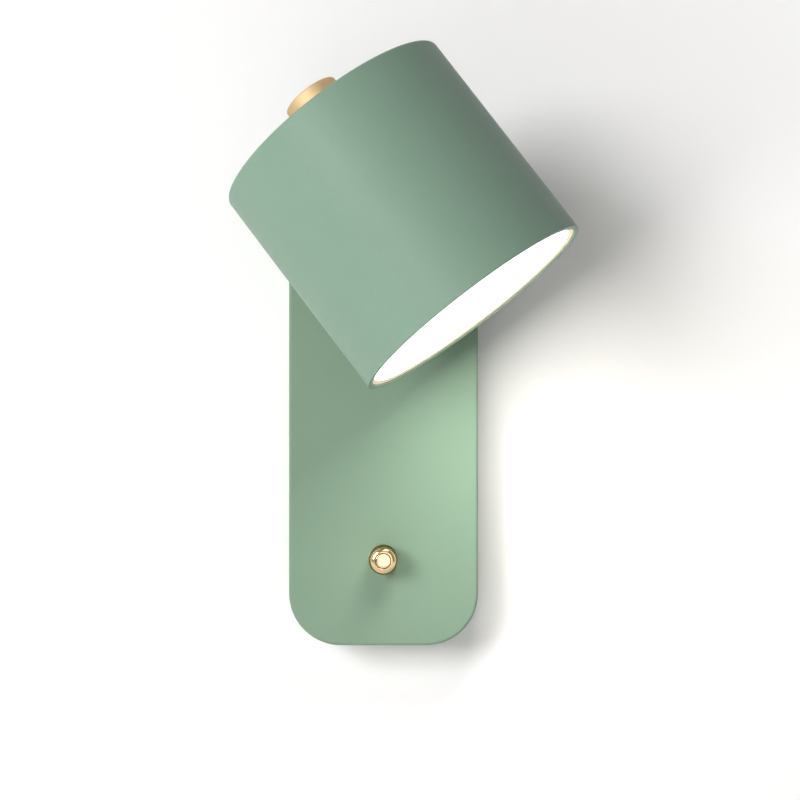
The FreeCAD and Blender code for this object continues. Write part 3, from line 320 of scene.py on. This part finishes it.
def moulded(name, colour, rough, grain=1400.0, strength=0.15, shift=0.04):
    """Moulded plastic or rubber: an even colour that shifts a little in faint clouds."""
    made, tree, shader = new_material(name)
    place = object_place(tree)
    fine = grain_bump(tree, shader, place, ((grain, 0.00003, strength, 3.0),))
    cloud = stage_of(tree, "TexNoise", {"Vector": place, "Scale": 90.0, "Detail": 3.0}).outputs["Fac"]
    tree.links.new(tone(tree, cloud, scaled(colour, 1 - shift), scaled(colour, 1 + shift)),
                   shader.inputs["Base Color"])
    tree.links.new(spread(tree, fine, rough - 0.04, rough + 0.05), shader.inputs["Roughness"])
    return made


def turned_metal(name, colour, rough, axis=None, marks=0.12, lines=5200.0):
    """Metal off the lathe: fine rings round its own z, or round an axis given by foot and way."""
    made, tree, shader = new_material(name)
    place = object_place(tree)
    if axis:
        foot, way = axis
        moved = stage_of(tree, "VectorMath", {0: place, 1: tuple(-value for value in foot)},
                         operation="ADD")
        turn = Vector(way).rotation_difference(Vector((0, 0, 1))).to_euler()
        place = stage_of(tree, "VectorRotate", {"Vector": moved.outputs[0], "Rotation": tuple(turn)},
                         rotation_type="EULER_XYZ").outputs[0]
    split = stage_of(tree, "SeparateXYZ", {0: place})
    flat = stage_of(tree, "CombineXYZ", {0: split.outputs[0], 1: split.outputs[1]})
    out = stage_of(tree, "VectorMath", {0: flat.outputs[0]}, operation="LENGTH")
    along = stage_of(tree, "Math", {0: out.outputs["Value"], 1: split.outputs[2]}, operation="ADD")
    cuts = stage_of(tree, "TexNoise", {"W": along.outputs[0], "Scale": lines, "Detail": 2.0},
                    noise_dimensions="1D")
    rings = stage_of(tree, "Bump", {"Height": cuts.outputs["Fac"], "Distance": 0.00001,
                                    "Strength": marks})
    shader.inputs["Metallic"].default_value = 1.0
    pits = (2200.0, 0.00001, 0.05, 2.0)
    grain_bump(tree, shader, place, (pits,), rings.outputs[0])
    cloud = stage_of(tree, "TexNoise", {"Vector": place, "Scale": 140.0, "Detail": 4.0}).outputs["Fac"]
    tree.links.new(tone(tree, cloud, scaled(colour, 0.93), scaled(colour, 1.05)),
                   shader.inputs["Base Color"])
    tree.links.new(spread(tree, cuts.outputs["Fac"], rough - 0.04, rough + 0.05),
                   shader.inputs["Roughness"])
    return made


brass_colour = (0.80, 0.60, 0.32)
satin_brass = turned_metal("satin_brass", scaled(brass_colour, 0.96), 0.30)
rubber = moulded("black_rubber", (0.035, 0.035, 0.037), 0.62)
natural_nylon = moulded("natural_nylon", (0.82, 0.79, 0.70), 0.42)
white_nylon = moulded("white_nylon", (0.85, 0.85, 0.83), 0.40)
dress(rubber, "cable_grommet")
dress(natural_nylon, "terminal_block")
dress(satin_brass, "terminal_sleeves")
dress(zinc, "terminal_screws", "terminal_fixing_screw")


# ---- earth point ----
# Crimped ring tag under a plated screw and a plain washer, with its green and yellow wire. The
# wire's yellow half lies along its right side.

def insulation(name, colour, rough=0.34):
    return moulded(name, colour, rough, grain=700.0, strength=0.10, shift=0.06)


earth_green = insulation("earth_insulation", (0.06, 0.33, 0.08))
tree = earth_green.node_tree
side = stage_of(tree, "SeparateXYZ", {0: stage_of(tree, "NewGeometry").outputs["Normal"]}).outputs["X"]
stripe = stage_of(tree, "MapRange", {"Value": side, "From Min": 0.15, "From Max": 0.25}).outputs[0]
shader = tree.nodes["Principled BSDF"]
plain = shader.inputs["Base Color"].links[0].from_socket
two_tone = stage_of(tree, "MixRGB", {"Fac": stripe, "Color1": plain, "Color2": (0.82, 0.66, 0.04, 1)})
tree.links.new(two_tone.outputs[0], shader.inputs["Base Color"])
dress(zinc, "earth_washer", "earth_screw", "earth_tag")
dress(earth_green, "earth_lead")


# ---- driver ----
# Moulded white nylon case on a tray with two screwed ears. Inside is a green board that carries
# the transformer and the capacitor.

board_green = moulded("green_mask", (0.06, 0.26, 0.12), 0.28, grain=420.0, strength=0.12, shift=0.10)
ferrite = moulded("taped_ferrite", (0.11, 0.10, 0.11), 0.55, grain=500.0, strength=0.3, shift=0.2)
can_sleeve = moulded("capacitor_sleeve", (0.09, 0.13, 0.30), 0.25)
brown_insulation = insulation("brown_insulation", (0.28, 0.13, 0.06))
white_insulation = insulation("white_sheath", (0.80, 0.80, 0.78))
dress(white_nylon, "driver_tray", "driver_case")
dress(board_green, "driver_board")
dress(ferrite, "driver_transformer")
dress(can_sleeve, "driver_capacitor")
dress(zinc, "driver_screws")
dress(brown_insulation, "mains_leads")
dress(white_insulation, "output_lead")


# ---- dimmer ----
# Rotary dimmer behind the canopy's front: a black moulded housing with a threaded brass neck that
# goes through the sheet and is held by a lock washer and a ring nut.

black_nylon = moulded("black_nylon", (0.045, 0.045, 0.047), 0.40)
dress(black_nylon, "dimmer_housing")
dress(spring, "dimmer_washer")
dress(satin_brass, "dimmer_bushing", "dimmer_nut", "dimmer_terminals")
dress(brown_insulation, "dimmer_leads")


# ---- dimmer knob ----
# Brass knob off the lathe, with a well rounded shoulder, a fine groove and a pressed-in cap. Its
# front is polished and its side is left satin, under lacquer. Its rim is painted darker brown as a
# painted dark reflection, and its groove dark brown as painted shade. A socket screw grips the shaft
# from below.

def arc(middle, height, radius, start, end, steps=12):
    """Outline points round a corner. start and end lean off the axis, in degrees."""
    points = []
    for step in range(steps + 1):
        lean = math.radians(start + (end - start) * step / steps)
        points.append((middle + radius * math.sin(lean), height + radius * math.cos(lean)))
    return points


def dome(edge, top, rise, steps):
    """Outline points over a faintly domed end, from just inside its edge to its middle."""
    points = []
    for step in range(1, steps + 1):
        reach = edge * (1 - step / steps)
        points.append((reach, top - rise * (reach / edge) ** 2))
    return points


def turned_piece(name, outline, axis, material, closed=False, around=144):
    """Turns an outline of (radius, height) points round an axis, given as its foot and its way."""
    shape = bmesh.new()
    rings = []
    on_axis = 1e-7
    for radius, height in outline:
        if radius < on_axis:
            rings.append([shape.verts.new((0, 0, height))])
            continue
        rings.append([shape.verts.new((radius * math.cos(math.tau * n / around),
                                       radius * math.sin(math.tau * n / around), height))
                      for n in range(around)])
    count = len(rings)
    for i in range(count if closed else count - 1):
        low, high = rings[i], rings[(i + 1) % count]
        for n in range(around):
            m = (n + 1) % around
            corners = [low[n % len(low)], low[m % len(low)], high[m % len(high)], high[n % len(high)]]
            shape.faces.new(list(dict.fromkeys(corners)))
    crisp = math.radians(30)
    for i in range(count):
        if len(rings[i]) == 1 or (not closed and i in (0, count - 1)):
            continue
        before, here, after = (Vector(outline[j % count]) for j in (i - 1, i, i + 1))
        if (here - before).angle(after - here) > crisp:
            for n in range(around):
                shape.edges.get((rings[i][n], rings[i][(n + 1) % around])).smooth = False
    bmesh.ops.recalc_face_normals(shape, faces=shape.faces[:])
    foot, way = Vector(axis[0]), Vector(axis[1])
    shape.transform(Matrix.Translation(foot) @ way.to_track_quat("Z", "Y").to_matrix().to_4x4())
    return link_mesh(name, shape, material)


def drilled(piece, cutter):
    """Takes a cutter's shape out of a piece for good."""
    hole = piece.modifiers.new("hole", "BOOLEAN")
    hole.operation, hole.object, hole.solver = "DIFFERENCE", cutter, "EXACT"
    bpy.context.view_layer.update()
    done = piece.evaluated_get(bpy.context.evaluated_depsgraph_get())
    piece.data = bpy.data.meshes.new_from_object(done)
    piece.modifiers.remove(hole)
    bpy.data.objects.remove(cutter)


def dark_edged(metal):
    """Lacquered brass has a dull, brown gloss at its edges in place of a bright one."""
    shader = metal.node_tree.nodes["Principled BSDF"]
    shader.inputs["Specular Tint"].default_value = (0.03, 0.015, 0.005, 1)
    return metal


def satin_side_and_painted_dark_rim(metal, axis, polished, satin, tint, rougher):
    """Polish that turns into a rougher satin finish between two distances from the knob's axis, where
    the colour is also painted darker brown as a painted dark reflection round the rim.
    """
    tree = metal.node_tree
    shader = tree.nodes["Principled BSDF"]
    plain, even = (shader.inputs[name].links[0].from_socket for name in ("Base Color", "Roughness"))
    across, _, up = axis[0]
    moved = stage_of(tree, "VectorMath", {0: object_place(tree), 1: (-across, 0, -up)},
                     operation="ADD")
    flat = stage_of(tree, "VectorMath", {0: moved.outputs[0], 1: (1, 0, 1)}, operation="MULTIPLY")
    out = stage_of(tree, "VectorMath", {0: flat.outputs[0]}, operation="LENGTH")
    share = stage_of(tree, "MapRange", {"Value": out.outputs["Value"], "From Min": polished,
                                        "From Max": satin})
    # painted dark reflection: the colour goes over to a darker brown towards the rim
    painted_darker_rim = stage_of(tree, "MixRGB", {"Fac": share.outputs[0], "Color1": plain,
                                       "Color2": (*tint, 1)})
    duller = stage_of(tree, "Math", {0: share.outputs[0], 1: rougher, 2: even},
                      operation="MULTIPLY_ADD")
    tree.links.new(painted_darker_rim.outputs[0], shader.inputs["Base Color"])
    tree.links.new(duller.outputs[0], shader.inputs["Roughness"])


knob_axis = ((0, -0.025, -0.073), (0, -1, 0))
polished_brass = dark_edged(turned_metal("polished_brass", brass_colour, 0.13, knob_axis, marks=0.05))
# the rim from 5.3 mm out is rougher satin and painted darker brown, a painted dark reflection
satin_side_and_painted_dark_rim(polished_brass, knob_axis, polished=0.0053, satin=0.0057, tint=(0.66, 0.47, 0.24),
           rougher=0.20)
cap_brass = dark_edged(turned_metal("cap_brass", (0.84, 0.62, 0.41), 0.11, knob_axis, marks=0.05))
# painted shade: the groove's faces are dark brown where the recess falls into shade
groove_painted_shade = turned_metal("groove_painted_shade", (0.16, 0.085, 0.04), 0.45, knob_axis, marks=0.05)

knob_radius, knob_foot, knob_top, knob_gap = 0.006, 0.00575, 0.0145, 0.0003
shaft_hole, shaft_end, skirt_radius, skirt_depth = 0.00205, 0.012, 0.0053, 0.0035
cap_radius, cap_low, cap_rise = 0.0031, 0.0133, 0.00006
groove_radius, groove_chamfer, small_round = 0.00335, 0.00006, 0.0002
front_round, side_round, turn_over = 0.0022, 0.0049, 60
lean = math.radians(turn_over)
front_middle = knob_radius - side_round * (1 - math.sin(lean)) - front_round * math.sin(lean)
side_middle = knob_radius - side_round
side_height = knob_top - front_round * (1 - math.cos(lean)) - side_round * math.cos(lean)
knob_outline = [(0, shaft_end), (shaft_hole, shaft_end), (shaft_hole, skirt_depth),
                (skirt_radius, skirt_depth), (skirt_radius, knob_gap)]
knob_outline += arc(knob_foot - small_round, knob_gap + small_round, small_round, 180, 90, 4)
knob_outline += arc(side_middle, side_height, side_round, 90, turn_over, 16)
knob_outline += arc(front_middle, knob_top - front_round, front_round, turn_over, 0, 20)[1:]
knob_outline += [(groove_radius, knob_top - groove_chamfer), (groove_radius, cap_low), (0, cap_low)]
knob = turned_piece("knob_body", knob_outline, knob_axis, polished_brass)

grub_radius, grub_reach = 0.0013, 0.0075
grub_axis = ((0, -0.033, -0.073), (0, 0, -1))
grub_outline = [(0, 0), (grub_radius, 0), (grub_radius, grub_reach), (0, grub_reach)]
drilled(knob, turned_piece("grub_way", grub_outline, grub_axis, polished_brass, around=48))

# the faces inside the groove take the painted shade
knob.data.materials.append(groove_painted_shade)
knob_front, knob_up = knob_axis[0][1], knob_axis[0][2]
groove_floor, beyond_wall, beyond_floor = knob_front - cap_low, 0.00002, 0.0001
for face in knob.data.polygons:
    from_axis = math.hypot(face.center.x, face.center.z - knob_up)
    if from_axis < groove_radius + beyond_wall and face.center.y < groove_floor + beyond_floor:
        face.material_index = 1

cap_flat = cap_radius - small_round
cap_outline = [(0, cap_low), (cap_radius, cap_low)]
cap_outline += arc(cap_flat, knob_top - cap_rise - small_round, small_round, 90, 3, 6)
cap_outline += dome(cap_flat, knob_top, cap_rise, 8)
cap = turned_piece("knob_cap_disc", cap_outline, knob_axis, cap_brass)
for piece, node in ((knob, "dimmer_knob"), (cap, "knob_cap")):
    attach(piece, "dimmer")
    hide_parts(node)
dress(satin_brass, "dimmer_shaft")
dress(spring, "knob_grub_screw")


# ---- pan pivot ----
# Hollow brass post, forked at its outer end, that turns in a nylon bush through the canopy. A spring
# washer, a stop washer with a finger and two nuts hold it from inside.

dress(natural_nylon, "post_bush", "pan_slip_washer")
dress(zinc, "pan_stop_pin", "pan_stop_washer", "pan_nut", "pan_lock_nut")
dress(spring, "pan_spring_washer")
dress(satin_brass, "pivot_post")
dress(white_insulation, "post_lead")


# ---- tilt knuckle ----
# Brass tongue that nods between nylon washers in the post's fork, on two shouldered screws. Its
# hollow shank goes through the shade's wall to a die-cast saddle washer and a nut.

cast_alloy = plated("die_cast_alloy", (0.74, 0.75, 0.76), 0.45, grain=900.0, height=0.00004)
dress(satin_brass, "head_knuckle", "tilt_screws")
dress(natural_nylon, "tilt_washers")
dress(cast_alloy, "knuckle_washer")
dress(zinc, "knuckle_nut")
dress(white_insulation, "head_lead")


# ---- shade ----
# Drum spun from 2 mm sheet with a closed end, powder coated inside and out like the canopy, from
# another batch of the same sage green.

sage_shade = powder_coat("sage_shade_coat", (0.216, 0.327, 0.250), 0.46)
dress(sage_shade, "shade")


# ---- diffuser and its ring ----
# Opal acrylic disc, lit from behind and white all over. A cream moulded snap ring holds it just
# inside the shade's mouth, with a faint painted glow that stands in for the light it lets through.

opal, tree, shader = new_material("opal_acrylic")
place = object_place(tree)
satin_skin = (900.0, 0.00002, 0.1, 2.0)
grain_bump(tree, shader, place, (satin_skin,))
cloud = stage_of(tree, "TexNoise", {"Vector": place, "Scale": 40.0, "Detail": 2.0}).outputs["Fac"]
tree.links.new(tone(tree, cloud, (0.93, 0.93, 0.92), (0.96, 0.96, 0.95)), shader.inputs["Base Color"])
shader.inputs["Roughness"].default_value = 0.35
shader.inputs["Emission Color"].default_value = (1.0, 0.985, 0.955, 1)
shader.inputs["Emission Strength"].default_value = 3.5
cream = moulded("cream_ring", (0.80, 0.70, 0.50), 0.45)
# painted glow: the ring is no lamp, and its faint emission stands in for light coming through it
ring_painted_glow = cream.node_tree.nodes["Principled BSDF"]
ring_painted_glow.inputs["Emission Color"].default_value = (0.95, 0.80, 0.52, 1)
ring_painted_glow.inputs["Emission Strength"].default_value = 0.22
dress(opal, "diffuser")

shade_middle = Vector((0.00815, -0.10105, 0.064224))
shade_up = Vector((-0.598965, 0.118404, 0.791973))
glow_below_middle = 0.0452
glow = bpy.data.lights.new("led_glow", "AREA")
glow.shape = "DISK"
glow.size = 0.092
glow.energy = 0.245
glow.color = (1.0, 0.97, 0.90)
glow_spot = bpy.data.objects.new("led_glow", glow)
glow_spot.visible_camera = False
glow_spot.visible_glossy = False
glow_spot.location = shade_middle - glow_below_middle * shade_up
glow_spot.rotation_euler = (-shade_up).to_track_quat("-Z", "Y").to_euler()
scene.collection.objects.link(glow_spot)
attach(glow_spot, "head")

# the ring's outline runs from its back, up its outer wall, over a raised edge and a lower lip that
# covers the disc's rim, and back down the seat that the disc sits in
ring_back, ring_inside, ring_outside = 0.0397, 0.0451, 0.04785
edge_height, edge_round, edge_foot = 0.04428, 0.0002, (0.0473, 0.04405)
lip_inside, lip_middle, lip_height, lip_round = 0.0462, 0.04635, 0.04388, 0.00015
seat_radius, seat_low, seat_high = 0.04704, 0.04178, 0.04383
ring_outline = [(ring_inside, ring_back), (ring_outside, ring_back)]
ring_outline += arc(ring_outside - edge_round, edge_height, edge_round, 90, -40, 6) + [edge_foot]
ring_outline += arc(lip_middle, lip_height, lip_round, 0, -90, 4) + [(lip_inside, seat_high)]
ring_outline += [(seat_radius, seat_high), (seat_radius, seat_low), (ring_inside, seat_low)]
shade_axis = (shade_middle, -shade_up)
snap_ring = turned_piece("snap_ring", ring_outline, shade_axis, cream, closed=True, around=240)
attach(snap_ring, "head")
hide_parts("diffuser_ring")


# ---- reflector and light engine ----
# Moulded high-white reflector in front of a white board with twelve yellow phosphor chips. A
# silicone pad and two screws join the board to a die-cast heat sink.

high_white = moulded("high_white", (0.92, 0.92, 0.91), 0.38)
board_white = moulded("white_mask", (0.88, 0.89, 0.88), 0.32)
phosphor = moulded("phosphor", (0.90, 0.74, 0.22), 0.22, grain=2000.0, strength=0.1, shift=0.08)
gap_pad = moulded("silicone_pad", (0.52, 0.57, 0.63), 0.6)
dress(high_white, "reflector")
dress(board_white, "led_board")
dress(phosphor, "led_chips")
dress(gap_pad, "thermal_pad")
dress(zinc, "board_screws", "knob_stud")
dress(cast_alloy, "heat_sink")


# ---- top nut ----
# Large brass cap nut that closes the shade's end on its stud: turned, left satin and lacquered. It
# has a small chamfer at its foot and a faintly domed end.

half_shade = 0.045
nut_axis = (shade_middle + half_shade * shade_up, shade_up)
nut_brass = dark_edged(turned_metal("nut_brass", (0.74, 0.56, 0.33), 0.70, nut_axis, marks=0.08))
nut_radius, nut_height, nut_edge, nut_rise = 0.0114, 0.0154, 0.001, 0.00025
stud_hole, stud_hole_depth, foot_chamfer = 0.00305, 0.0105, 0.0002
nut_flat = nut_radius - nut_edge
nut_outline = [(0, stud_hole_depth), (stud_hole, stud_hole_depth), (stud_hole, 0),
               (nut_radius - foot_chamfer, 0), (nut_radius, foot_chamfer)]
nut_outline += arc(nut_flat, nut_height - nut_rise - nut_edge, nut_edge, 90, 3, 12)
nut_outline += dome(nut_flat, nut_height, nut_rise, 10)
top_nut = turned_piece("top_nut", nut_outline, nut_axis, nut_brass, around=180)
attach(top_nut, "head")
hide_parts("top_knob")
